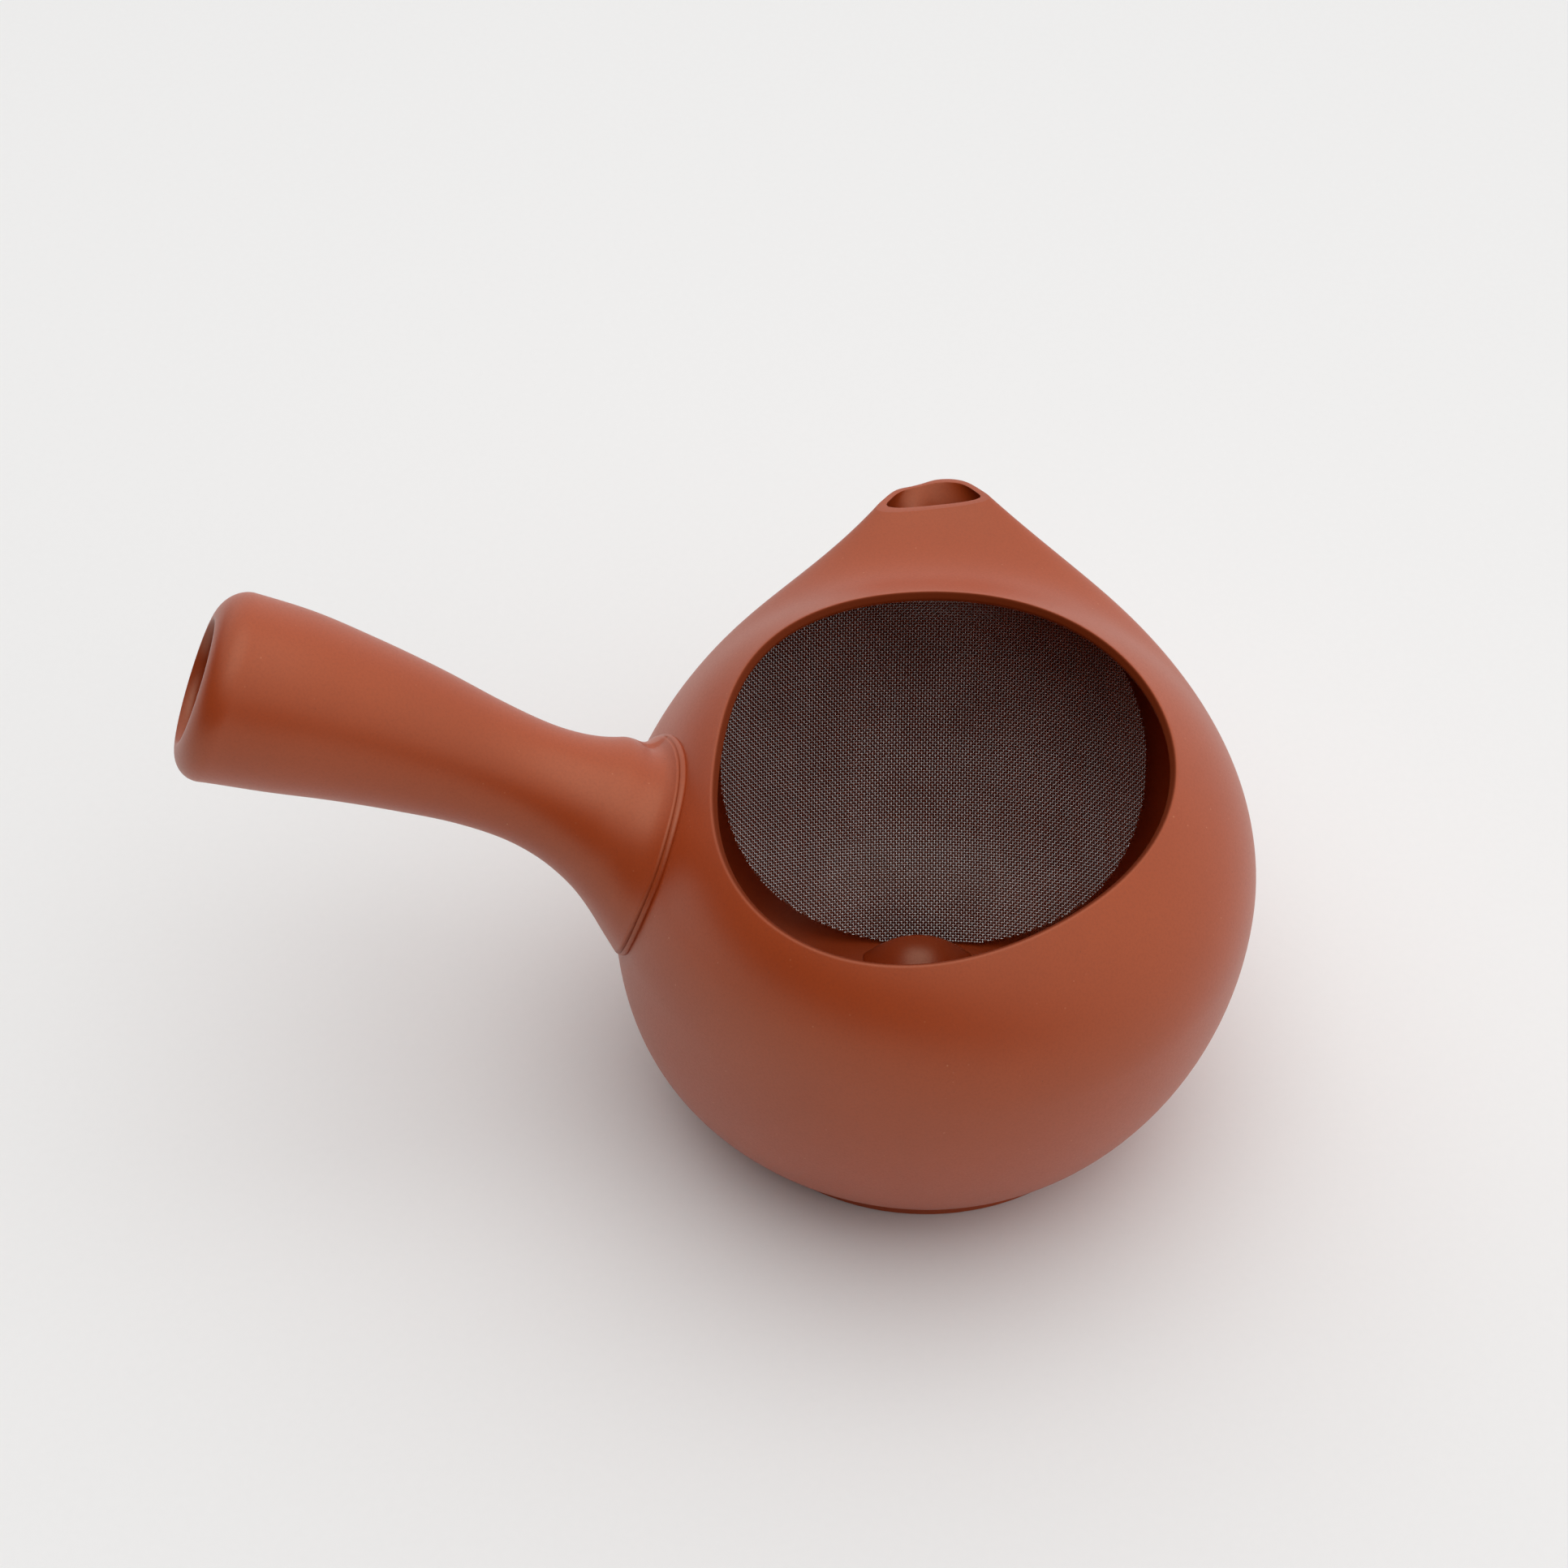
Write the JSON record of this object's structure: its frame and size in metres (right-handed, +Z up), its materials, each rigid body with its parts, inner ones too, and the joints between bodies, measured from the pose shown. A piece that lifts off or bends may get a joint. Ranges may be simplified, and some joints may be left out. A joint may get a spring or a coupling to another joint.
{
  "type": "kyusu",
  "caption": "Small unglazed clay side-handled teapot without a lid, with a drawn spout and a loose woven wire strainer sheet.",
  "frame": {"origin": "middle of the foot, on the surface that the pot stands on", "axes": "+Z up, +Y towards the spout, -X towards the handle"},
  "size_m": [0.1716, 0.1216, 0.0979],
  "materials": {
    "red_clay": "unglazed burnished red clay, fine grained, satin",
    "woven_steel": "plain-woven stainless wire cloth, raw cut edge"
  },
  "bodies": {
    "pot": {"teapot_body": "red_clay", "side_handle": "red_clay", "handle_luting_bead": "red_clay", "strainer_stop": "red_clay"},
    "strainer": {"strainer_sheet": "woven_steel"}
  },
  "joints": [
    {"name": "strainer_tilt", "type": "hinge", "parent": "pot", "child": "strainer", "pos_m": [0, 0.0209, 0.0051], "axis": [1, 0, 0], "range_deg": [0, 35]}
  ]
}
